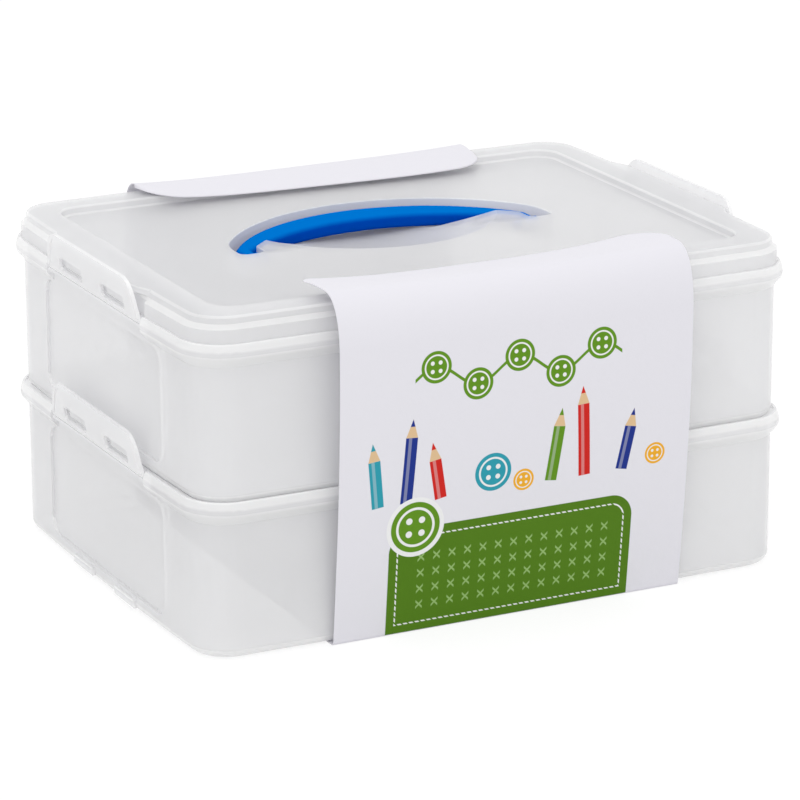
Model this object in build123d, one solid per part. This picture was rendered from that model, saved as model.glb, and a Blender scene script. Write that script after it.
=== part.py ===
"""Two-layer storage box: two stacking trays, a lid with a folding carry handle, and a card sleeve.

Millimetres, +Z up. The long side runs along X and the front faces -Y.
The origin is on the underside of the card sleeve, in the middle of the box.
Each tray and the lid sit in the rim of the tray below. At both short ends of a tray an
upright wing on a moulded hinge catches the tabs of whatever stands on that tray.
"""
import os
from math import cos, hypot, radians, sin, sqrt

from build123d import *

# Plan of a tray, measured over its walls at the middle of each side
tray_length = 345.4
tray_depth = 257.8
end_bow = 2.7
side_bow = 1.3
corner_radius = 21.2

# Tray shell
wall = 1.6
floor_thickness = 1.8
base_edge_radius = 5.5
wall_height = 84.1
foot_border = 14.0
foot_height = 1.0

# Rim bead round the mouth of a tray
bead_reach = 4.5
bead_height = 12.7
bead_widest_below_top = 5.7
bead_under_radius = 4.5
bead_under_slope_deg = 40.0
lip_height = 1.2
lip_outside = 2.9
lip_thickness = 1.2

# Shallow panel pressed into each short end
end_panel_half_width = 78.0
end_panel_depth = 2.7
end_panel_bottom = 9.0
end_panel_gap_to_bead = 1.6
end_panel_corner = 9.0

# Latch wing, and the break in the rim that it stands in
wing_break_half_width = 63.7
wing_half_width = 62.2
wing_top_half_width = 54.0
wing_height = 21.2
wing_thickness = 1.5
wing_corner_radius = 13.0
wing_lean_deg = 6.6
wing_hinge_out = 2.5
wing_hinge_below_wall_top = 2.1
wing_lip_width = 2.6
wing_lip_thickness = 0.6
window_width = 30.4
window_height = 7.2
window_above_hinge = 2.0
window_centre = 28.4
window_corner = 1.5
land_thickness = 1.6
running_gap = 0.3

# How far a cutting shape runs past what it cuts, and how near two points count as one
overshoot = 5.0
same_place = 0.01

# Tabs that the windows catch, on the foot of each tray and on the lid
tab_width = 26.0
tab_height = 4.5
tab_above_base = 2.8
tab_edge_radius = 0.8

# Lid, whose raised border stands back from the tray's walls
lid_inset = 1.5
lid_thickness = 1.6
lid_height = 16.1
lid_edge_radius = 1.6
skirt_out = 2.8
skirt_height = 8.1
shoulder_height = 2.3
lid_seat_gap = 0.3
recess_border_x = 18.2
recess_border_y = 17.4
recess_depth = 4.9
recess_corner = 13.0
recess_edge_radius = 1.4
lid_end_out = 3.5
lid_end_flange = 3.2
lid_end_inset = 0.7
lid_end_ramp = 14.0
lid_end_root = 6.0
lid_end_flare = 0.15

# Handle and the well it folds into
handle_thickness = 8.0
handle_reach = 61.0
handle_shoulder = 12.0
grip_width = 20.5
grip_armpit = 7.7
arm_width = 8.2
arm_outer_x = 88.0
grip_top_radius = 3.4
grip_edge_radius = 2.2
grip_shoulder_radius = 7.0
grip_armpit_radius = 3.0
core_wall = 2.2
core_depth = 4.6
pin_radius = 2.5
pin_length = 5.0
pin_root = 1.0
pin_clearance = 0.08
pivot_y = 2.0
well_back_gap = 3.5
well_side_gap = 5.4
well_front_gap = 9.5
handle_below_recess = 2.8
arm_slot_gap = 0.4
trough_front_gap = 3.2
tongue_corner = 3.0
well_back_corner = 36.0
well_front_corner = 4.0
well_slot_corner = 4.5
well_rim_radius = 0.6

# Finger dish, a shallow bowl pressed into the panel before the grip and under it
finger_reach = 33.7
dish_radius = 76.0
dish_depth = 14.5

# Card sleeve
card_thickness = 0.5
card_gap = 0.2
sleeve_width = 204.4
sleeve_front_bulge = 12.0
sleeve_back_bulge = 7.0
sleeve_stand_off = 3.0
sleeve_lift = 1.4
sleeve_front_arch = 2.4
sleeve_back_arch = 0.6
sleeve_bulge_low = 119.0
sleeve_bulge_high = 155.0
sleeve_front_overhang = 3.0
sleeve_back_overhang = 1.0
front_flap = 33.0
back_flap = 38.0
front_flap_corner = 12.0
back_flap_corner = 30.0
fold_radius = 3.0
front_bend_radius = 12.0
back_bend_radius = 10.0
front_shoulder_radius = 60.0
back_shoulder_radius = 50.0
panel_radius = 220.0

# Places worked out from the sizes above
half_length = tray_length / 2
half_depth = tray_depth / 2
lid_half_length = half_length - lid_inset
lid_half_depth = half_depth - lid_inset
rim_top = wall_height + lip_height
base_z = card_thickness + card_gap
seat_rise = sqrt((base_edge_radius + running_gap) ** 2 - (base_edge_radius - wall) ** 2)
stack_pitch = wall_height + seat_rise - base_edge_radius
lid_seat_z = stack_pitch + wall_height + lid_seat_gap
lid_top_z = 2 * stack_pitch + lid_height
recess_z = lid_top_z - recess_depth
hinge_x = half_length + wing_hinge_out
hinge_z = wall_height - wing_hinge_below_wall_top
handle_top_z = recess_z - handle_below_recess
pivot_z = handle_top_z - handle_thickness / 2
well_floor_z = handle_top_z - handle_thickness - running_gap


def arc_radius(half_chord, rise):
    """Radius of an arc that rises this far over half its chord."""
    return (half_chord**2 + rise**2) / (2 * rise)


handle_radius = arc_radius(arm_outer_x, handle_reach - handle_shoulder)
handle_centre_y = pivot_y + handle_reach - handle_radius
arm_inner_x = arm_outer_x - arm_width
grip_inner_radius = arc_radius(arm_inner_x, handle_reach - grip_width - grip_armpit)
grip_inner_centre_y = pivot_y + handle_reach - grip_width - grip_inner_radius
well_back_radius = handle_radius + well_back_gap
slot_inner_x = arm_inner_x - arm_slot_gap
dish_centre_y = pivot_y - finger_reach + dish_radius


def plan(half_x, half_y, radius):
    """Rounded rectangle whose four sides bow outwards."""
    corner_x = half_x - end_bow
    corner_y = half_y - side_bow
    outline = [
        ThreePointArc((-corner_x, -corner_y), (0, -half_y), (corner_x, -corner_y)),
        ThreePointArc((corner_x, -corner_y), (half_x, 0), (corner_x, corner_y)),
        ThreePointArc((corner_x, corner_y), (0, half_y), (-corner_x, corner_y)),
        ThreePointArc((-corner_x, corner_y), (-half_x, 0), (-corner_x, -corner_y)),
    ]
    face = make_face(outline)
    return fillet(face.vertices(), radius)


def tray_plan(grow=0.0):
    """Plan of the tray's outside, grown or shrunk all round."""
    return plan(half_length + grow, half_depth + grow, corner_radius + grow)


def lid_plan(grow=0.0):
    """Plan of the lid's top, grown or shrunk all round."""
    return tray_plan(grow - lid_inset)


def end_drop(half_y, y):
    """How far a bowed short side has fallen back at a distance y from its middle."""
    return end_bow * (y / half_y) ** 2


def block(x0, x1, y0, y1, z0, z1):
    """Box between two corners."""
    size = (abs(x1 - x0), abs(y1 - y0), z1 - z0)
    return Pos((x0 + x1) / 2, (y0 + y1) / 2, (z0 + z1) / 2) * Box(*size)


def both_ends(piece):
    """A shape on the +X end together with its mirror image on the -X end."""
    return piece + mirror(piece, about=Plane.YZ)


def rim_bead():
    """Rolled rim that goes round the mouth, with a break at each end for the wing."""
    low = rim_top - bead_height
    widest = rim_top - bead_widest_below_top
    inner = -wall / 2
    lip_inside = lip_outside - lip_thickness
    slope = radians(bead_under_slope_deg)
    slope_end = (
        bead_reach - bead_under_radius * (1 - cos(slope)),
        widest - bead_under_radius * sin(slope),
    )
    outline = [
        Line((0, low), slope_end),
        TangentArc((bead_reach, widest), slope_end, tangent=(0, -1)),
        TangentArc((bead_reach, widest), (lip_outside, rim_top), tangent=(0, 1)),
        Polyline(
            (lip_outside, rim_top),
            (lip_inside, rim_top),
            (lip_inside, wall_height),
            (inner, wall_height),
            (inner, low),
            (0, low),
        ),
    ]
    path = tray_plan().face().outer_wire()
    start = path @ 0
    forward = path % 0
    outwards = Vector(forward.Y, -forward.X, 0)
    if outwards.dot(Vector(start.X, start.Y, 0)) < 0:
        outwards = -outwards
    section_plane = Plane(
        origin=(start.X, start.Y, 0), x_dir=outwards, z_dir=outwards.cross(Vector(0, 0, 1))
    )
    section = section_plane * make_face(outline)
    bead = sweep(section, path=path)
    reach = half_length + bead_reach
    half = wing_break_half_width
    gap = block(half_length / 2, reach + overshoot, -half, half, 0, rim_top + overshoot)
    return bead - both_ends(gap)


def end_panel_tool(depth, grow):
    """Prism that presses the end panel in from outside, or its wall from inside."""
    top = rim_top - bead_height - end_panel_gap_to_bead
    height = top - end_panel_bottom + 2 * grow
    width = 2 * (end_panel_half_width + grow)
    middle = (top + end_panel_bottom) / 2
    face = RectangleRounded(width, height, end_panel_corner)
    place = Plane(origin=(half_length - depth, 0, middle), x_dir=(0, 1, 0), z_dir=(1, 0, 0))
    return both_ends(extrude(place * face, amount=depth + overshoot))


def catch_tab(root_x, tip_x, z):
    """One tab with rounded outer edges, on the +X end."""
    size = (tip_x - root_x, tab_width, tab_height)
    centre = ((root_x + tip_x) / 2, 0, z + tab_height / 2)
    tab = Pos(*centre) * Box(*size)
    return fillet(tab.edges().filter_by(Plane.YZ).group_by(Axis.X)[-1], tab_edge_radius)


def catch_tabs(root_x, tip_x, z):
    """Both tabs of each short end."""
    tab = catch_tab(root_x, tip_x, z)
    pair = Pos(0, window_centre, 0) * tab + Pos(0, -window_centre, 0) * tab
    return both_ends(pair)


def wing_inner_x(height_above_hinge):
    """Place of the wing's inner face at a height above its hinge."""
    lean = radians(wing_lean_deg)
    return hinge_x + height_above_hinge * sin(lean) / cos(lean) - wing_thickness / 2 / cos(lean)


def tab_tip_x():
    """Tabs stop a running gap short of the wing that stands beside them."""
    foot = stack_pitch + tab_above_base - hinge_z
    return wing_inner_x(foot) - running_gap


def make_tray():
    """One tray standing on z = 0, without its wings."""
    outside = extrude(tray_plan(), amount=wall_height)
    outside = fillet(outside.edges().group_by(Axis.Z)[0], base_edge_radius)
    outside -= end_panel_tool(end_panel_depth, 0)

    inside = Pos(0, 0, floor_thickness) * extrude(tray_plan(-wall), amount=wall_height)
    inside = fillet(inside.edges().group_by(Axis.Z)[0], base_edge_radius - wall)
    inside -= end_panel_tool(end_panel_depth + wall, wall)

    foot = extrude(tray_plan(-foot_border), amount=foot_height)
    foot_inside = Pos(0, 0, floor_thickness) * extrude(
        tray_plan(-foot_border - wall), amount=foot_height
    )
    body = outside - inside + foot_inside - foot

    land_top = hinge_z - wing_thickness / 2 - running_gap
    land_out = hinge_x + wing_thickness / 2
    land = block(
        half_length - wall / 2, land_out, -wing_half_width, wing_half_width,
        land_top - land_thickness, land_top,
    )
    tabs = catch_tabs(half_length - wall, tab_tip_x(), tab_above_base)
    return (body + rim_bead() + both_ends(land) + tabs).clean()


def wing_face(inset=0.0):
    """Outline of a wing in its own plane, hinge line at height 0."""
    half_low = wing_half_width - inset
    half_top = wing_top_half_width - inset
    height = wing_height - inset
    outline = Polyline(
        (-half_low, 0), (half_low, 0), (half_top, height), (-half_top, height), close=True
    )
    face = make_face(outline)
    top = face.vertices().group_by(Axis.Y)[-1]
    return fillet(top, wing_corner_radius - inset)


def make_wing(level_z, side):
    """Latch wing of the tray whose base is at level_z, on the +X or -X end."""
    upright = Plane(origin=(0, 0, 0), x_dir=(0, 1, 0), z_dir=(1, 0, 0))
    half = wing_thickness / 2
    plate = extrude(upright * wing_face(), amount=half, both=True)
    roll = Rot(90, 0, 0) * Cylinder(half, 2 * wing_half_width)
    lip_face = wing_face() - wing_face(wing_lip_width)
    lip = extrude(upright * lip_face, amount=half + wing_lip_thickness)
    plain = wing_half_width + overshoot
    lip -= block(-overshoot, overshoot, -plain, plain, -overshoot, window_above_hinge)
    window = RectangleRounded(window_width, window_height, window_corner)
    window = upright * Pos(0, window_above_hinge + window_height / 2, 0) * window
    window = extrude(window, amount=overshoot, both=True)
    wing = plate + roll + lip
    for y in (-window_centre, window_centre):
        wing -= Pos(0, y, 0) * window
    wing = Pos(hinge_x, 0, level_z + hinge_z) * Rot(0, wing_lean_deg, 0) * wing
    if side < 0:
        wing = mirror(wing, about=Plane.YZ)
    return wing


def lid_shell():
    """Skirt, shoulder and raised border of the lid, hollow below."""
    shoulder_z = lid_seat_z + skirt_height
    border_z = shoulder_z + shoulder_height

    def stack(inset, drop):
        low = Pos(0, 0, lid_seat_z) * extrude(
            lid_plan(skirt_out - inset), amount=skirt_height - drop
        )
        slope = loft([
            Pos(0, 0, shoulder_z - drop) * lid_plan(skirt_out - inset),
            Pos(0, 0, border_z - drop) * lid_plan(-inset),
        ])
        top = Pos(0, 0, border_z - drop) * extrude(
            lid_plan(-inset), amount=lid_top_z - border_z
        )
        return low + slope + top

    outside = stack(0, 0)
    outside = fillet(outside.edges().group_by(Axis.Z)[-1], lid_edge_radius)
    hollow = stack(lid_thickness, lid_thickness / 2)
    hollow -= block(
        -tray_length, tray_length, -tray_depth, tray_depth,
        lid_top_z - lid_thickness, lid_top_z + overshoot,
    )
    recess_x = lid_half_length - recess_border_x
    recess_y = lid_half_depth - recess_border_y
    hollow -= Pos(0, 0, recess_z - lid_thickness) * extrude(
        RectangleRounded(
            2 * (recess_x + lid_thickness),
            2 * (recess_y + lid_thickness),
            recess_corner + lid_thickness,
        ),
        amount=recess_depth + lid_thickness,
    )
    recess = Pos(0, 0, recess_z) * extrude(
        RectangleRounded(2 * recess_x, 2 * recess_y, recess_corner), amount=recess_depth + overshoot
    )
    recess = fillet(recess.edges().group_by(Axis.Z)[0], recess_edge_radius)
    outside -= recess
    brink = [
        edge for edge in outside.edges().group_by(Axis.Z)[-1]
        if abs(edge.center().X) < recess_x + same_place and abs(edge.center().Y) < recess_y + same_place
    ]
    return fillet(brink, recess_edge_radius), hollow


def end_setback(outside, hollow):
    """Breaks the skirt at each short end, where the lid stands inside the wings."""
    side_x = half_length - lid_end_inset
    flange_x = lid_half_length + lid_end_out
    flange_z = lid_top_z - lid_end_flange
    reach = flange_x + overshoot
    low = lid_seat_z - overshoot
    half = wing_break_half_width
    notch = both_ends(block(side_x, reach, -half, half, low, flange_z))
    half_backing = half + lid_thickness
    backing = both_ends(
        block(
            side_x - lid_thickness, reach, -half_backing, half_backing,
            low, flange_z + lid_thickness,
        )
    )
    root_x = lid_half_length - lid_end_root
    start_x = lid_half_length - end_drop(lid_half_depth, half)
    flat_y = half - lid_end_ramp
    outline = [
        Polyline((start_x, -half), (root_x, -half), (root_x, half), (start_x, half)),
        Spline(
            (start_x, half), (flange_x, flat_y), tangents=((lid_end_flare, -1), (0, -1))
        ),
        Line((flange_x, flat_y), (flange_x, -flat_y)),
        Spline(
            (flange_x, -flat_y), (start_x, -half), tangents=((0, -1), (-lid_end_flare, -1))
        ),
    ]
    flange = Pos(0, 0, flange_z) * extrude(make_face(outline), amount=lid_end_flange)
    flange = fillet(flange.edges().group_by(Axis.Z)[-1].sort_by(Axis.X)[-1], lid_edge_radius / 2)
    outside = outside - notch + both_ends(flange)
    return outside, hollow - backing


def trough_plan(grow=0.0):
    """Outline of the trough that the grip and its two arms lie in."""
    outer_x = arm_outer_x + well_side_gap
    end_y = pivot_y - well_front_gap
    corner_y = handle_centre_y + sqrt(well_back_radius**2 - outer_x**2)
    front_radius = grip_inner_radius - trough_front_gap
    shoulder_y = grip_inner_centre_y + sqrt(front_radius**2 - slot_inner_x**2)
    back = (0, handle_centre_y + well_back_radius)
    front = (0, grip_inner_centre_y + front_radius)
    outline = [
        ThreePointArc((-outer_x, corner_y), back, (outer_x, corner_y)),
        Polyline(
            (outer_x, corner_y), (outer_x, end_y), (slot_inner_x, end_y), (slot_inner_x, shoulder_y)
        ),
        ThreePointArc((slot_inner_x, shoulder_y), front, (-slot_inner_x, shoulder_y)),
        Polyline(
            (-slot_inner_x, shoulder_y), (-slot_inner_x, end_y), (-outer_x, end_y), (-outer_x, corner_y)
        ),
    ]
    face = make_face(outline)
    corner_radii = {
        (outer_x, corner_y): well_back_corner,
        (outer_x, end_y): well_front_corner,
        (slot_inner_x, end_y): well_slot_corner,
        (slot_inner_x, shoulder_y): tongue_corner,
    }
    for (x, y), radius in corner_radii.items():
        corners = [v for v in face.vertices() if hypot(abs(v.X) - x, v.Y - y) < same_place]
        face = fillet(corners, radius)
    if grow:
        face = offset(face, amount=grow)
    return face


def finger_dish(grow, top_z):
    """Cap of a ball, as wide as the dish at the panel, that ends at the back wall of the trough."""
    ball_radius = arc_radius(dish_radius, dish_depth)
    ball_z = recess_z + ball_radius - dish_depth
    ball = Pos(0, dish_centre_y, ball_z) * Rot(90, 0, 0) * Sphere(ball_radius + grow)
    low_z = recess_z - dish_depth - overshoot
    within = Pos(0, handle_centre_y, (low_z + top_z) / 2) * Cylinder(
        well_back_radius + grow, top_z - low_z
    )
    return ball & within


def handle_well(grow, top_z):
    """Trough and finger dish together, grown all round, up to the height top_z."""
    floor_z = well_floor_z - grow
    trough = Pos(0, 0, floor_z) * extrude(trough_plan(grow), amount=top_z - floor_z)
    return trough + finger_dish(grow, top_z)


def round_well_rim(lid):
    """Lid with the edge softened where its panel turns down into the well."""
    back_y = handle_centre_y + well_back_radius
    rim = [
        edge for edge in lid.edges().filter_by_position(Axis.Z, recess_z, recess_z)
        if pivot_y - finger_reach - same_place < edge.center().Y < back_y + same_place
    ]
    return fillet(rim, well_rim_radius)


def make_lid():
    """Lid with its recess, handle well and pivot holes."""
    outside, hollow = lid_shell()
    outside, hollow = end_setback(outside, hollow)
    bowl = handle_well(lid_thickness, recess_z - lid_thickness / 2)
    well = handle_well(0, recess_z + overshoot)
    lid = round_well_rim(outside - hollow + bowl - well)
    wall_x = slot_inner_x - lid_thickness / 2
    hole = Cylinder(pin_radius + pin_clearance, 2 * pin_length)
    lid -= both_ends(Pos(wall_x, pivot_y, pivot_z) * Rot(0, 90, 0) * hole)
    tabs = catch_tabs(
        half_length - lid_end_inset - lid_thickness / 2,
        tab_tip_x(),
        2 * stack_pitch + tab_above_base,
    )
    return (lid + tabs).clean()


def grip_plan(inset=0.0):
    """Arched grip with its two arms, seen from above."""
    outer_radius = handle_radius - inset
    arm_x = arm_outer_x - inset
    inner_x = arm_inner_x + inset
    inner_top = grip_inner_centre_y + grip_inner_radius + inset
    outer_y = handle_centre_y + sqrt(outer_radius**2 - arm_x**2)
    inner_y = pivot_y + grip_armpit + inset
    end_y = pivot_y + (handle_thickness / 2 if inset else 0)
    outline = [
        ThreePointArc((-arm_x, outer_y), (0, handle_centre_y + outer_radius), (arm_x, outer_y)),
        Polyline((arm_x, outer_y), (arm_x, end_y), (inner_x, end_y), (inner_x, inner_y)),
        ThreePointArc((inner_x, inner_y), (0, inner_top), (-inner_x, inner_y)),
        Polyline((-inner_x, inner_y), (-inner_x, end_y), (-arm_x, end_y), (-arm_x, outer_y)),
    ]
    face = make_face(outline)
    outer = [v for v in face.vertices() if hypot(abs(v.X) - arm_x, v.Y - outer_y) < same_place]
    face = fillet(outer, grip_shoulder_radius - inset)
    if inset:
        return face
    inner = [v for v in face.vertices() if hypot(abs(v.X) - inner_x, v.Y - inner_y) < same_place]
    return fillet(inner, grip_armpit_radius)


def make_handle():
    """Carry handle lying folded in its well, with a pivot pin on the inside of each arm."""
    low = handle_top_z - handle_thickness
    grip = Pos(0, 0, low) * extrude(grip_plan(), amount=handle_thickness)
    for level, radius in ((handle_top_z, grip_top_radius), (low, grip_edge_radius)):
        rim = grip.edges().filter_by_position(Axis.Z, level, level)
        grip = fillet([edge for edge in rim if edge.center().Y > pivot_y + same_place], radius)
    core = Pos(0, 0, low) * extrude(grip_plan(core_wall), amount=core_depth)
    arm_x = arm_outer_x - arm_width / 2
    eye = Pos(arm_x, pivot_y, pivot_z) * Rot(0, 90, 0) * Cylinder(handle_thickness / 2, arm_width)
    rooted_length = pin_length + pin_root
    pin = Cylinder(pin_radius, rooted_length)
    pin = Pos(arm_inner_x + pin_root - rooted_length / 2, pivot_y, pivot_z) * Rot(0, 90, 0) * pin
    return (grip - core + both_ends(eye) + both_ends(pin)).clean()


def sleeve_line():
    """Line of the card from the front flap's edge round under the box to the back flap's edge."""
    skin = card_thickness / 2
    top = base_z + lid_top_z + sleeve_lift + skin
    fold_y = half_depth + sleeve_stand_off
    front_y = fold_y + sleeve_front_bulge
    back_y = fold_y + sleeve_back_bulge
    edge = lid_half_depth
    points = [
        (-(edge - front_flap), top),
        (-(edge + sleeve_front_overhang), top + sleeve_front_arch),
        (-front_y, sleeve_bulge_high),
        (-front_y, sleeve_bulge_low),
        (-fold_y, skin),
        (fold_y, skin),
        (back_y, sleeve_bulge_low),
        (back_y, sleeve_bulge_high),
        (edge + sleeve_back_overhang, top + sleeve_back_arch),
        (edge - back_flap, top),
    ]
    radii = [
        front_bend_radius, front_shoulder_radius, panel_radius, fold_radius,
        fold_radius, panel_radius, back_shoulder_radius, back_bend_radius,
    ]
    return FilletPolyline(*points, radius=radii)


def flap_corner_cut(edge_y, radius, towards):
    """Offcuts that round the two corners of a flap."""
    reach = 2 * radius
    square = Pos(0, edge_y + towards * reach / 2) * Rectangle(sleeve_width, reach)
    corners = [v for v in square.vertices() if abs(v.Y - edge_y) < same_place]
    offcut = square - fillet(corners, radius)
    return Pos(0, 0, recess_z) * extrude(offcut, amount=lid_height)


def make_sleeve():
    """Band of card that wraps the box, open on top between its two flaps."""
    section = trace(sleeve_line(), line_width=card_thickness)
    side = Plane(origin=(0, 0, 0), x_dir=(0, 1, 0), z_dir=(1, 0, 0))
    sleeve = extrude(side * section, amount=sleeve_width / 2, both=True)
    sleeve -= flap_corner_cut(front_flap - lid_half_depth, front_flap_corner, -1)
    sleeve -= flap_corner_cut(lid_half_depth - back_flap, back_flap_corner, 1)
    return sleeve


def build():
    """Every piece in its place, by name."""
    tray = make_tray()
    levels = {"lower": 0.0, "upper": stack_pitch}
    pieces = {}
    for name, z in levels.items():
        pieces["tray_" + name] = Pos(0, 0, base_z + z) * tray
        pieces["wing_" + name + "_left"] = make_wing(base_z + z, -1)
        pieces["wing_" + name + "_right"] = make_wing(base_z + z, 1)
    pieces["lid"] = Pos(0, 0, base_z) * make_lid()
    pieces["handle"] = Pos(0, 0, base_z) * make_handle()
    pieces["card_sleeve"] = make_sleeve()
    return pieces


os.makedirs("parts", exist_ok=True)
for node, shape in build().items():
    export_step(shape, "parts/" + node + ".step")
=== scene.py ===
"""Looks of the two-layer storage box: milky trays and lid, blue handle, printed card sleeve.

Metres, +Z up, the front faces -Y. Every piece sits where the frame puts it.
"""
from math import cos, pi, radians, sin

import bpy
import numpy as np
from mathutils import Matrix, Vector


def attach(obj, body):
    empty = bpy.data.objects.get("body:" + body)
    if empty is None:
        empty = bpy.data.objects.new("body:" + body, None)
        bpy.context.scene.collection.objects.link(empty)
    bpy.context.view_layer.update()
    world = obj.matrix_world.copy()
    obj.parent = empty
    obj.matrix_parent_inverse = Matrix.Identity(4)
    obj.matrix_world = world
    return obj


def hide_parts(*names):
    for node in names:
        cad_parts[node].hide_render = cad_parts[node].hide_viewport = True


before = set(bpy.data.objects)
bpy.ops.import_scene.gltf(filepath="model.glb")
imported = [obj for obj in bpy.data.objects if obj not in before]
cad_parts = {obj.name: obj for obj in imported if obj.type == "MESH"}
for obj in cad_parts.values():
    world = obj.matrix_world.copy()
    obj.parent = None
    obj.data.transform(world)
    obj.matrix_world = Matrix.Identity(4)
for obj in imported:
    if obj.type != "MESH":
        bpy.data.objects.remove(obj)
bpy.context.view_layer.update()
MM = 0.001

# Where the photograph was taken from, and how its frame sees the box
view_yaw = radians(26.29)
view_pitch = radians(17.34)
view_roll = radians(-0.25)
view_distance = 2.2315
view_height = 0.082
photo_width = 800
focal_pixels = 4083
axis_pixel = 395
sensor_mm = 36.0
near_limit = 0.1
far_limit = 50.0

# Studio: light from all round, the floor, and soft lamps as (name, place, size, power)
world_light = 0.935
floor_reach = 6.0
floor_colour = (0.84, 0.84, 0.84)
floor_glow = 1.1
floor_glow_share = 0.75
lamp_aim = (0, 0, 0.1)
lamps = (
    ("key_lamp", (-0.8, -1.0, 1.9), 1.4, 8),
    ("fill_lamp", (1.6, -0.9, 0.9), 1.4, 0.2),
    ("back_lamp", (0.3, 1.5, 1.5), 1.2, 1),
)

# Joining and shading of the mouldings
same_place_mm = 0.002
crease_angle = radians(28)
flat_face_weight = 100

# Plain colours of the finishes, as linear light
milky_colour = (0.96, 0.96, 0.97)
# Darker colour of the lid's level faces: painted shade
lid_top_shade_colour = (0.84, 0.84, 0.855)
# White of the rounded edges: a painted highlight
milky_edge_highlight_colour = (1.0, 1.0, 1.0)
# Lighter blue on the handle's top and deeper blue on its upright sides: painted light and shade
blue_lit_top_colour = (0.0, 0.17, 0.61)
blue_shaded_side_colour = (0.0, 0.06, 0.44)
card_colour = (0.79, 0.78, 0.83)
print_green = (0.085, 0.20, 0.010)
print_leaf = (0.12, 0.28, 0.015)
print_red = (0.62, 0.02, 0.015)
print_teal = (0.03, 0.33, 0.42)
print_navy = (0.015, 0.035, 0.25)
print_sun = (0.85, 0.42, 0.03)
print_wood = (0.74, 0.52, 0.30)
print_white = (0.86, 0.86, 0.86)
print_stitch = (0.30, 0.48, 0.16)

# How much of what lies behind the plastic it covers: on its faces, in its clear spots, and more on its edges
milky_cover = 0.51
clear_cover = 0.32
edge_cover = 0.14
lid_edge_cover = 0.05
haze_spread = 0.25
haze_middle = 0.12

# Rounded edges, by the height of their normal, and how softly the edge's denser cover and painted highlight
# begin
edge_lowest = 0.10
edge_highest = 0.97
edge_softness = 0.12

# Soft steps of the finishes, as a gain and an offset: level faces with the lid's painted shade, the handle's
# top with its painted light, a clear spot
level_shade_step = (12.0, -11.0)
lit_top_step = (1.6, -0.5)
spot_step = (-2.5, 3.0)

# Beside each arm of the handle the lid is clearer: an oval about this place, by its half lengths
clear_x = 70 * MM
clear_y = 6 * MM
clear_half_x = 20 * MM
clear_half_y = 16 * MM

# Waves and grain of the mouldings and the card: how many to a metre, in what shares, how high in metres
flow_scale = 14.0
flow_detail = 3.0
haze_scale = 5.0
grain_scale = 900.0
flow_share = 0.6
grain_share = 0.02
moulding_relief = 0.0006
handle_grain_scale = 700.0
handle_relief = 0.0001
fibre_scale = 420.0
fibre_relief = 0.00008

# Craft print: lengths in millimetres, across from the middle of the card and up from its bottom fold
pencil_half = 3.4
pencil_cone = 10.0
pencil_foot = 72.0
pencil_tip_share = 0.6
facet_offset = 0.8
facet_half = 0.9
facet_paleness = 0.2
thread_height = 138.0
thread_half = 60.0
thread_swing = 6.0
thread_line_half = 1.0
thread_slant = 0.8
button_pitch = 24.0
button_count = 5
button_radius = 8.6
badge_place = (-58.0, 58.0)
badge_radius = 16.5
badge_button_radius = 14.0

# Parts of a button, as shares of its radius
button_ring = 0.74
button_ring_half = 0.05
button_hole_place = 0.26
button_hole = 0.13

# Pencils as (across, barrel, lean in degrees, colour), and loose buttons as (across, up, radius, colour)
pencils = (
    (-80, 26, 6, print_teal),
    (-64, 36, -4, print_navy),
    (-44, 22, 10, print_red),
    (20, 30, -8, print_leaf),
    (40, 40, 3, print_red),
    (62, 24, -11, print_navy),
)
loose_buttons = (
    (-14, 82, 10.5, print_teal),
    (4, 75, 6.0, print_sun),
    (82, 78, 6.0, print_sun),
)

# Stitched panel of the print: lengths in millimetres
panel_left = -72.7
panel_right = 70.1
panel_top = 57.4
panel_bottom = -1.5
panel_corner = 13.0
seam_inset = 5.0
seam_half = 0.4
dash_pitch = 3.4
dash_half = 1.1
cross_pitch = 9.0
cross_arm = 1.9
cross_half = 0.45
cross_slant = 0.7
cross_margin = 12.0

# Card sleeve: lengths in millimetres, heights above the floor, pairs as (out from the middle, height)
sleeve_half_width = 102.2
card_thickness = 0.5
card_rows = 22
card_columns = 121
fold_rows = 7
fold_y = 131.2
fold_radius = 2.4
shoulder_height = 160.0
front_shoulder_y = 143.0
back_shoulder_y = 138.4
front_crown = (126.0, 187.2)
back_crown = (124.5, 184.9)
front_edge = (97.0, 183.7)
back_edge = (97.0, 180.4)
back_edge_askew = 6.0
front_left_corner = 7.0
front_right_corner = 21.0
back_left_corner = 22.0
back_right_corner = 20.0
front_left_lift = 4.2
front_right_lift = 6.5
back_left_lift = 4.5
back_right_lift = 3.0
front_lift_power = 3
back_lift_power = 4
crown_lift_share = 0.45
edge_pull_share = 0.35
crown_pull_share = 0.75
shoulder_pull_up = 15.0
shoulder_pull_down = 52.0
fold_pull = (7.0, 56.0)
card_skew = 3.5
card_length = 760.0
print_origin_mm = 500.0
print_edge_mm = 0.25


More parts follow.
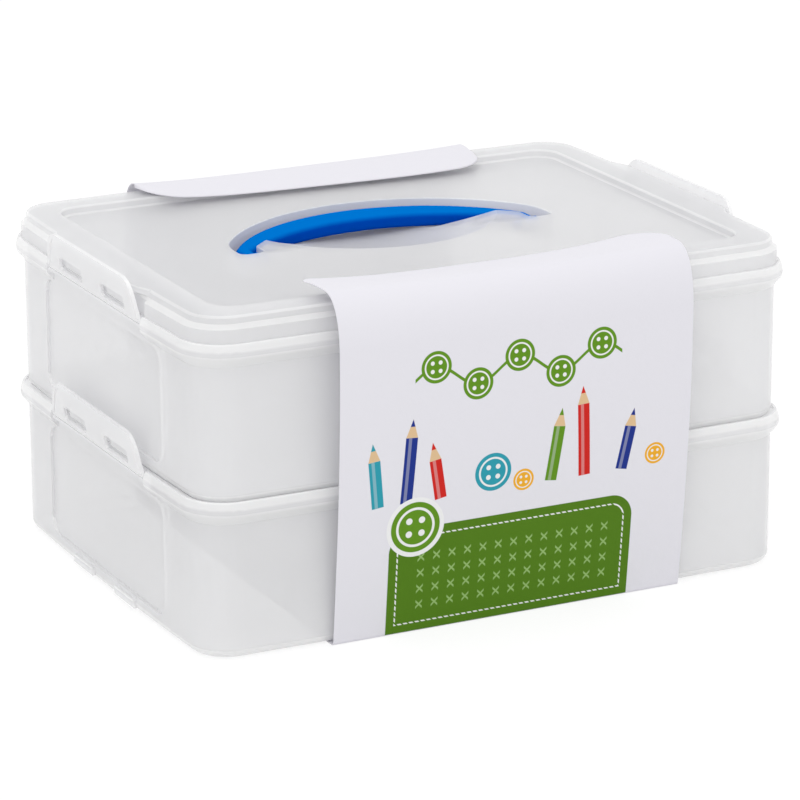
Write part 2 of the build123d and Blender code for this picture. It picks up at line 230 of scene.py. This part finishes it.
class Wire:
    """One output of a material's nodes; arithmetic on it adds Math nodes."""

    def __init__(self, tree, socket):
        self.tree = tree
        self.socket = socket

    def _math(self, operation, *values):
        node = self.tree.nodes.new("ShaderNodeMath")
        node.operation = operation
        for slot, value in zip(node.inputs, values):
            connect(self.tree, value, slot)
        return Wire(self.tree, node.outputs[0])

    def __add__(self, other):
        return self._math("ADD", self, other)

    __radd__ = __add__

    def __sub__(self, other):
        return self._math("SUBTRACT", self, other)

    def __rsub__(self, other):
        return self._math("SUBTRACT", other, self)

    def __mul__(self, other):
        return self._math("MULTIPLY", self, other)

    __rmul__ = __mul__

    def __abs__(self):
        return self._math("ABSOLUTE", self)

    def least(self, other):
        """The smaller of two values."""
        return self._math("MINIMUM", self, other)

    def most(self, other):
        """The larger of two values."""
        return self._math("MAXIMUM", self, other)

    def sine(self):
        """Sine of an angle in radians."""
        return self._math("SINE", self)

    def clamped(self, gain, offset):
        """The value times a gain plus an offset, held between 0 and 1."""
        wire = self._math("MULTIPLY_ADD", self, gain, offset)
        wire.socket.node.use_clamp = True
        return wire

    def band(self, low, high, soft):
        """1 between two values and 0 outside them, with soft ends."""
        rise = self.clamped(1 / soft, -low / soft)
        fall = self.clamped(-1 / soft, high / soft)
        return rise * fall

    def nearest(self, pitch):
        """Signed distance to the nearest whole multiple of a pitch."""
        return self._math("FLOORED_MODULO", self + pitch / 2, pitch) - pitch / 2


def connect(tree, value, socket):
    """Link a wire to a socket, or set the socket to a plain value."""
    if isinstance(value, Wire):
        tree.links.new(value.socket, socket)
    elif isinstance(value, tuple) and len(value) == 3 and socket.type == "RGBA":
        socket.default_value = (*value, 1.0)
    else:
        socket.default_value = value


class Finish:
    """A material under construction."""

    def __init__(self, name):
        self.material = bpy.data.materials.new(name)
        self.material.use_nodes = True
        self.tree = self.material.node_tree
        self.tree.nodes.clear()

    def node(self, kind, settings=(), output=0, **inputs):
        """Add a node, set its settings, then its sockets by name with underscores for spaces."""
        node = self.tree.nodes.new(kind)
        for key, value in dict(settings).items():
            setattr(node, key, value)
        for key, value in inputs.items():
            connect(self.tree, value, node.inputs[key.replace("_", " ")])
        return Wire(self.tree, node.outputs[output])

    def place(self):
        """Object coordinates."""
        node = self.tree.nodes.new("ShaderNodeTexCoord")
        return Wire(self.tree, node.outputs["Object"])

    def length_of(self, x, y):
        """Distance of a point from the origin of its plane."""
        spot = self.node("ShaderNodeCombineXYZ", X=x, Y=y)
        measure = self.tree.nodes.new("ShaderNodeVectorMath")
        measure.operation = "LENGTH"
        connect(self.tree, spot, measure.inputs[0])
        return Wire(self.tree, measure.outputs["Value"])

    def noise(self, scale, detail=2.0):
        """Soft noise from 0 to 1 in the piece's own space."""
        return self.node("ShaderNodeTexNoise", Vector=self.place(), Scale=scale, Detail=detail)

    def bump(self, height, distance):
        """A normal tilted by a height, which is a share of a distance in metres."""
        return self.node("ShaderNodeBump", Height=height, Distance=distance)

    def blend_colours(self, share, first, second):
        """Blend two colours by a share from 0 to 1.

        A Mix node has sockets for every kind of data: 0, 6, 7 and output 2 are those of colours.
        """
        node = self.tree.nodes.new("ShaderNodeMix")
        node.data_type = "RGBA"
        for slot, value in zip((0, 6, 7), (share, first, second)):
            connect(self.tree, value, node.inputs[slot])
        return Wire(self.tree, node.outputs[2])

    def mix(self, share, first, second):
        """Blend two shaders by a share from 0 to 1."""
        node = self.tree.nodes.new("ShaderNodeMixShader")
        for slot, value in zip(node.inputs, (share, first, second)):
            connect(self.tree, value, slot)
        return Wire(self.tree, node.outputs[0])

    def surface(self, shader):
        """Put a shader on the surface and return the finished material."""
        out = self.tree.nodes.new("ShaderNodeOutputMaterial")
        connect(self.tree, shader, out.inputs["Surface"])
        return self.material


def facing_up(finish):
    """Height of the surface's normal in the piece's own space: 1 on its top, 0 on an upright side."""
    geometry = finish.tree.nodes.new("ShaderNodeNewGeometry")
    turned = finish.node(
        "ShaderNodeVectorTransform",
        {"vector_type": "NORMAL", "convert_from": "WORLD", "convert_to": "OBJECT"},
        Vector=Wire(finish.tree, geometry.outputs["Normal"]),
    )
    split = finish.tree.nodes.new("ShaderNodeSeparateXYZ")
    connect(finish.tree, turned, split.inputs[0])
    return Wire(finish.tree, split.outputs["Z"])


def edge_density_and_highlight(finish):
    """1 on rounded edges, where the surface turns between level and upright, else 0: there the plastic is
    denser, and whiter as a painted highlight.
    """
    return abs(facing_up(finish)).band(edge_lowest, edge_highest, edge_softness)


def clear_spots(finish):
    """1 inside the oval beside each arm of the handle and 0 outside them, with a soft edge."""
    split = finish.tree.nodes.new("ShaderNodeSeparateXYZ")
    connect(finish.tree, finish.place(), split.inputs[0])
    across = (abs(Wire(finish.tree, split.outputs["X"])) - clear_x) * (1 / clear_half_x)
    along = (Wire(finish.tree, split.outputs["Y"]) - clear_y) * (1 / clear_half_y)
    return finish.length_of(across, along).clamped(*spot_step)


def milky_plastic(name, level_shade_colour, edges, has_clear_spots=False):
    """Translucent polypropylene: see-through walls, denser on their rounded edges, which are also whiter as
    a painted highlight.

    Level faces have a colour of their own, which on the lid is darker as painted shade, and a slow noise
    makes the cover a little cloudy.
    """
    finish = Finish(name)
    denser_and_highlight = edge_density_and_highlight(finish)
    flow = finish.noise(flow_scale, flow_detail)
    haze = finish.noise(haze_scale)
    grain = finish.noise(grain_scale)
    normal = finish.bump(flow * flow_share + grain * grain_share, moulding_relief)
    # Whiter colour on rounded edges: a painted highlight
    upright = finish.blend_colours(denser_and_highlight, milky_colour, milky_edge_highlight_colour)
    # Level faces take their own colour, which on the lid is a darker painted shade
    level = abs(facing_up(finish)).clamped(*level_shade_step)
    cover = haze.clamped(haze_spread, milky_cover - haze_middle) + denser_and_highlight * edges
    if has_clear_spots:
        cover = cover - clear_spots(finish) * (milky_cover - clear_cover)
    shader = finish.node(
        "ShaderNodeBsdfPrincipled",
        Base_Color=finish.blend_colours(level, upright, level_shade_colour),
        Roughness=0.28,
        IOR=1.49,
        Alpha=cover.least(1.0),
        Normal=normal,
    )
    return finish.surface(shader)


def blue_plastic():
    """Satin moulded blue of the handle, with painted light and shade: lighter on its top, deeper on its
    upright sides.
    """
    finish = Finish("blue_plastic")
    # Lighter where the handle faces up is painted light, deeper on its upright sides is painted shade
    top = facing_up(finish).clamped(*lit_top_step)
    shader = finish.node(
        "ShaderNodeBsdfPrincipled",
        Base_Color=finish.blend_colours(top, blue_shaded_side_colour, blue_lit_top_colour),
        Roughness=0.42,
        Specular_IOR_Level=0.0,
        Normal=finish.bump(finish.noise(handle_grain_scale), handle_relief),
    )
    return finish.surface(shader)


class Print:
    """Flat shapes printed on the card, in millimetres across and up its front."""

    def __init__(self, finish, across, up):
        self.finish = finish
        self.across = across
        self.up = up
        self.colour = card_colour

    def about(self, x, y, turn=0.0):
        """Coordinates about a point, turned by an angle."""
        dx = self.across - x
        dy = self.up - y
        if not turn:
            return dx, dy
        return dx * cos(turn) + dy * sin(turn), dy * cos(turn) - dx * sin(turn)

    def ink(self, distance, colour, outside=None):
        """Print a colour where the distance, and outside if given, is below zero, with a soft edge."""
        if outside is not None:
            distance = distance.most(outside)
        cover = distance.clamped(-1 / print_edge_mm, 0.5)
        self.colour = self.finish.blend_colours(cover, self.colour, colour)

    def button(self, dx, dy, radius, colour, outside=None):
        """Round button with a pale rim line and four holes, which are one hole mirrored twice."""
        reach = self.finish.length_of(dx, dy)
        self.ink(reach - radius, colour, outside)
        self.ink(abs(reach - button_ring * radius) - button_ring_half * radius, print_white, outside)
        gap = button_hole_place * radius
        hole = self.finish.length_of(abs(dx) - gap, abs(dy) - gap)
        self.ink(hole - button_hole * radius, print_white, outside)

    def pencil(self, x, length, turn, colour):
        """Pencil that stands on its end: barrel with a lit facet, bare wood cone and coloured tip."""
        dx, dy = self.about(x, pencil_foot, turn)
        side = abs(dx)
        above = dy - length
        low = (0.0 - dy).most(above)
        self.ink((side - pencil_half).most(low), colour)
        self.ink((abs(dx + facet_offset) - facet_half).most(low), lighter(colour))
        cone = (side + above * (pencil_half / pencil_cone) - pencil_half).most(0.0 - above)
        self.ink(cone, print_wood)
        self.ink(cone.most(pencil_tip_share * pencil_cone - above), colour)


def lighter(colour):
    """Paler tone of an ink, for the lit facet of a barrel."""
    return tuple(channel + facet_paleness * (1 - channel) for channel in colour)


def thread_of_buttons(front):
    """Buttons along a wavy thread: one button repeated, raised and lowered by a cosine.

    The slant, which is the cosine of the thread's steepest slope, turns a distance in height into
    about the distance across the thread, so that its edge is as soft as the others.
    """
    turn_per_mm = pi / button_pitch
    rise = front.up - thread_height
    wave = (front.across * turn_per_mm + pi / 2).sine() * thread_swing
    line = abs(rise - wave) * thread_slant - thread_line_half * thread_slant
    front.ink(line, print_leaf, abs(front.across) - thread_half)
    column = front.across.nearest(button_pitch)
    centre = ((front.across - column) * turn_per_mm + pi / 2).sine() * thread_swing
    past_ends = abs(front.across) - button_pitch * button_count / 2
    front.button(column, rise - centre, button_radius, print_leaf, past_ends)


def stitched_panel(front):
    """Green panel with a dashed seam inside its edge and rows of cross stitches.

    The panel is the distance to a rectangle with rounded corners, cut off straight at its foot. A
    stitch is one slanting line mirrored both ways, and repeated at one pitch across and up.
    """
    middle = (panel_left + panel_right) / 2
    half = (panel_right - panel_left) / 2
    dx = abs(front.across - middle) - (half - panel_corner)
    dy = front.up - (panel_top - panel_corner)
    panel = front.finish.length_of(dx.most(0.0), dy.most(0.0)) - panel_corner
    panel = panel.most(panel_bottom - front.up)
    front.ink(panel, print_green)
    dash = abs((front.across + front.up).nearest(dash_pitch)) - dash_half
    front.ink(abs(panel + seam_inset) - seam_half, print_white, dash)
    cross_x = abs(front.across.nearest(cross_pitch))
    cross_y = abs((front.up - cross_pitch / 2).nearest(cross_pitch))
    cross = (abs(cross_x - cross_y) * cross_slant - cross_half).most(cross_x - cross_arm)
    front.ink(cross, print_stitch, panel + cross_margin)


def coated_card():
    """Coated board with a plain craft print on its front.

    The print follows the card's UV map, which both faces of the board share, so it shows inside too.
    """
    finish = Finish("coated_card")
    at = finish.node("ShaderNodeUVMap", {"uv_map": "card"})
    split = finish.tree.nodes.new("ShaderNodeSeparateXYZ")
    connect(finish.tree, at, split.inputs[0])
    across = (Wire(finish.tree, split.outputs[0]) - 0.5) * (2 * sleeve_half_width)
    up = Wire(finish.tree, split.outputs[1]) * card_length - print_origin_mm
    front = Print(finish, across, up)
    thread_of_buttons(front)
    for x, length, lean, colour in pencils:
        front.pencil(x, length, radians(lean), colour)
    for x, y, radius, colour in loose_buttons:
        front.button(*front.about(x, y), radius, colour)
    stitched_panel(front)
    dx, dy = front.about(*badge_place)
    front.ink(finish.length_of(dx, dy) - badge_radius, print_white)
    front.button(dx, dy, badge_button_radius, print_leaf)
    shader = finish.node(
        "ShaderNodeBsdfPrincipled",
        Base_Color=front.colour,
        Roughness=0.5,
        Specular_IOR_Level=0.1,
        Normal=finish.bump(finish.noise(fibre_scale), fibre_relief),
    )
    return finish.surface(shader)


def joined_triangles(mesh):
    """Corners and triangles of a loose mesh, with the corners that lie at one place made one."""
    corners = np.empty(3 * len(mesh.vertices))
    mesh.vertices.foreach_get("co", corners)
    triangles = np.empty(3 * len(mesh.polygons), dtype=np.int64)
    mesh.polygons.foreach_get("vertices", triangles)
    corners = corners.reshape(-1, 3)
    grid = np.round(corners / (same_place_mm * MM)).astype(np.int64)
    _, first, place = np.unique(grid, axis=0, return_index=True, return_inverse=True)
    triangles = place.reshape(-1)[triangles].reshape(-1, 3)
    whole = (triangles[:, 0] != triangles[:, 1]) & (triangles[:, 1] != triangles[:, 2])
    whole &= triangles[:, 2] != triangles[:, 0]
    return corners[first], triangles[whole]


def add_piece(name, mesh, material):
    """Put a finished mesh into the scene under one material."""
    mesh.materials.append(material)
    piece = bpy.data.objects.new(name, mesh)
    bpy.context.scene.collection.objects.link(piece)
    return piece


def smooth_copy(node, material):
    """The node's own shape, shaded smooth up to its real edges, with its flat faces kept flat."""
    corners, triangles = joined_triangles(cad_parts[node].data)
    mesh = bpy.data.meshes.new(node + "_moulding")
    mesh.from_pydata(corners.tolist(), [], triangles.tolist())
    mesh.shade_smooth()
    mesh.set_sharp_from_angle(angle=crease_angle)
    piece = add_piece(node + "_moulding", mesh, material)
    flatten = piece.modifiers.new("flat_faces", "WEIGHTED_NORMAL")
    flatten.keep_sharp = True
    flatten.weight = flat_face_weight
    return piece


def bezier(start, near_start, near_end, end, steps):
    """Cubic Bezier span for a whole row of sections: four points weighted by Bernstein polynomials."""
    t = np.linspace(0, 1, steps)[:, None, None]
    return (
        (1 - t) ** 3 * start
        + 3 * t * (1 - t) ** 2 * near_start
        + 3 * t**2 * (1 - t) * near_end
        + t**3 * end
    )


def pair(y, z):
    """Points (y, z) of every section, one row each."""
    y, z = np.broadcast_arrays(y, z)
    return np.stack([y, z], axis=-1)


def corner_setback(x, left_radius, right_radius):
    """How far a flap's edge falls back near its rounded corners: a quarter circle at each end."""
    radius = np.where(x < 0, left_radius, right_radius)
    into = np.clip(np.abs(x) - (sleeve_half_width - radius), 0, radius)
    return radius - np.sqrt(radius**2 - into**2)


def flap_side(x, side, edge, crown, shoulder_y, setback, lift):
    """From a flap's edge over the crown and down the side panel to the bottom fold.

    Three cubic spans joined with matching directions; the edge rises towards the lifted corners.
    """
    edge_y, edge_z = edge
    crown_y, crown_z = crown
    zero = 0 * x
    start = pair(side * (edge_y + setback), edge_z + lift)
    top = pair(side * crown_y + zero, crown_z + crown_lift_share * lift)
    shoulder = pair(side * shoulder_y + zero, shoulder_height)
    fold = pair(side * fold_y + zero, fold_radius)
    run = (crown_y - edge_y - setback) / 3
    after_start = start + pair(side * run, edge_pull_share * (crown_z - edge_z) + zero)
    over = bezier(start, after_start, top - pair(side * run, zero), top, card_rows)
    after_top = top + pair(side * crown_pull_share * (shoulder_y - crown_y), zero)
    down = bezier(top, after_top, shoulder + (0, shoulder_pull_up), shoulder, card_rows)
    fold_pull_y, fold_pull_z = fold_pull
    before_fold = fold + (side * fold_pull_y, fold_pull_z)
    panel = bezier(shoulder, shoulder - (0, shoulder_pull_down), before_fold, fold, card_rows)
    return np.concatenate([over, down[1:], panel[1:]])


def card_rows_and_lengths():
    """The card as rows of points (x, y, z) along its length, and each point's place across and along it.

    The band is a little skewed, so its back flap lies further to the right than its front flap.
    """
    x = sleeve_half_width * np.sin(np.linspace(-pi / 2, pi / 2, card_columns))
    share = np.abs(x) / sleeve_half_width
    front_lift = np.where(x < 0, front_left_lift, front_right_lift) * share**front_lift_power
    back_lift = np.where(x < 0, back_left_lift, back_right_lift) * share**back_lift_power
    front_setback = corner_setback(x, front_left_corner, front_right_corner)
    back_setback = corner_setback(x, back_left_corner, back_right_corner)
    back_setback = back_setback - back_edge_askew * x / sleeve_half_width
    front = flap_side(x, -1, front_edge, front_crown, front_shoulder_y, front_setback, front_lift)
    back = flap_side(x, 1, back_edge, back_crown, back_shoulder_y, back_setback, back_lift)
    turn = np.linspace(0, pi / 2, fold_rows)[1:, None]
    half = card_thickness / 2
    bend = fold_radius - half
    arc = pair(-fold_y + bend * (1 - np.cos(turn)) + 0 * x, fold_radius - bend * np.sin(turn) + 0 * x)
    base = np.linspace(-fold_y + bend, fold_y - bend, card_rows)[1:-1, None]
    flat = pair(base + 0 * x, half)
    arc_back = pair(-arc[::-1, :, 0], arc[::-1, :, 1])
    line = np.concatenate([front, arc, flat, arc_back, back[::-1]])
    steps = np.hypot(*np.moveaxis(np.diff(line, axis=0), -1, 0))
    length = np.concatenate([0 * x[None], np.cumsum(steps, axis=0)])
    fold_row = len(front) - 1
    length += print_origin_mm - length[fold_row]
    length = 2 * print_origin_mm - length
    skewed = x + card_skew * np.linspace(0, 1, len(line))[:, None]
    rows = np.concatenate([skewed[..., None], line], axis=-1)
    return rows, np.broadcast_to(x, length.shape), length


def grid_mesh(name, rows):
    """Sheet of quads through a grid of points."""
    count, width = rows.shape[:2]
    index = np.arange(count * width).reshape(count, width)
    quads = np.stack([index[:-1, :-1], index[:-1, 1:], index[1:, 1:], index[1:, :-1]], axis=-1)
    mesh = bpy.data.meshes.new(name)
    mesh.from_pydata(rows.reshape(-1, 3).tolist(), [], quads.reshape(-1, 4).tolist())
    mesh.shade_smooth()
    return mesh


def make_card(material):
    """Printed card band with lifted flap corners."""
    rows, width, length = card_rows_and_lengths()
    mesh = grid_mesh("printed_card", rows * MM)
    corners = np.empty(len(mesh.loops), dtype=np.int64)
    mesh.loops.foreach_get("vertex_index", corners)
    across = width.reshape(-1) / (2 * sleeve_half_width) + 0.5
    up = length.reshape(-1) / card_length
    flat = mesh.uv_layers.new(name="card")
    flat.data.foreach_set("uv", np.stack([across[corners], up[corners]], axis=-1).ravel())
    card = add_piece("printed_card", mesh, material)
    board = card.modifiers.new("board", "SOLIDIFY")
    board.thickness = card_thickness * MM
    board.offset = 0
    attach(card, "card_sleeve")
    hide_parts("card_sleeve")


def dress(node, material):
    """Show a node as its own smooth moulding, with its finish, on the body of the same name."""
    piece = smooth_copy(node, material)
    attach(piece, node)
    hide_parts(node)


def make_camera():
    """The photograph's viewpoint, with the optical axis a little left of the frame's middle."""
    back = Vector((
        -sin(view_yaw) * cos(view_pitch), -cos(view_yaw) * cos(view_pitch), sin(view_pitch)
    ))
    level = Vector((cos(view_yaw), -sin(view_yaw), 0.0))
    upright = back.cross(level)
    right = cos(view_roll) * level + sin(view_roll) * upright
    up = back.cross(right)
    data = bpy.data.cameras.new("photo_camera")
    data.sensor_width = sensor_mm
    data.lens = focal_pixels / photo_width * sensor_mm
    data.shift_x = 0.5 - axis_pixel / photo_width
    data.clip_start = near_limit
    data.clip_end = far_limit
    camera = bpy.data.objects.new("photo_camera", data)
    place = Matrix((right, up, back)).transposed().to_4x4()
    place.translation = Vector((0, 0, view_height)) + view_distance * back
    camera.matrix_world = place
    bpy.context.scene.collection.objects.link(camera)
    bpy.context.scene.camera = camera


def seen_directly(tree):
    """1 where the camera, a reflection or a refraction looks at the backdrop, else 0."""
    path = tree.nodes.new("ShaderNodeLightPath")
    camera, glossy, through = (
        Wire(tree, path.outputs[name])
        for name in ("Is Camera Ray", "Is Glossy Ray", "Is Transmission Ray")
    )
    return camera.most(glossy).most(through)


def soft_lamp(name, spot, size, power):
    """Square soft lamp at a place, aimed at the middle of the box."""
    data = bpy.data.lights.new(name, "AREA")
    data.size = size
    data.energy = power
    lamp = bpy.data.objects.new(name, data)
    lamp.location = spot
    lamp.rotation_euler = (Vector(lamp_aim) - Vector(spot)).to_track_quat("-Z", "Y").to_euler()
    bpy.context.scene.collection.objects.link(lamp)


def make_studio():
    """Pale floor, even world light and three soft lamps."""
    mesh = bpy.data.meshes.new("studio_floor")
    sides = ((-1, -1), (1, -1), (1, 1), (-1, 1))
    corners = [(x * floor_reach, y * floor_reach, 0) for x, y in sides]
    mesh.from_pydata(corners, [], [(0, 1, 2, 3)])
    finish = Finish("studio_floor")
    shaded = finish.node("ShaderNodeBsdfDiffuse", Color=floor_colour)
    white = finish.node("ShaderNodeEmission", Color=(1.0, 1.0, 1.0), Strength=floor_glow)
    seen = seen_directly(finish.tree) * floor_glow_share
    mesh.materials.append(finish.surface(finish.mix(seen, shaded, white)))
    floor = bpy.data.objects.new("studio_floor", mesh)
    bpy.context.scene.collection.objects.link(floor)

    world = bpy.data.worlds.new("studio")
    bpy.context.scene.world = world
    world.use_nodes = True
    backdrop = world.node_tree.nodes["Background"]
    backdrop.inputs["Color"].default_value = (1, 1, 1, 1)
    seen = seen_directly(world.node_tree)
    connect(world.node_tree, seen + (1 - seen) * world_light, backdrop.inputs["Strength"])

    for lamp in lamps:
        soft_lamp(*lamp)


def let_light_through():
    """Enough light bounces for a stack of see-through walls, each of which has two faces."""
    cycles = bpy.context.scene.cycles
    cycles.transparent_max_bounces = 32
    cycles.diffuse_bounces = 8
    cycles.max_bounces = 16


def build():
    """Dress every moulding and wrap the card round them."""
    tray_plastic = milky_plastic("milky_tray", milky_colour, edge_cover)
    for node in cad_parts:
        if node.startswith(("tray", "wing")):
            dress(node, tray_plastic)
    lid_plastic = milky_plastic("milky_lid", lid_top_shade_colour, lid_edge_cover, has_clear_spots=True)
    dress("lid", lid_plastic)
    dress("handle", blue_plastic())
    make_card(coated_card())


build()
make_camera()
make_studio()
bpy.context.scene.view_settings.view_transform = "Standard"
let_light_through()
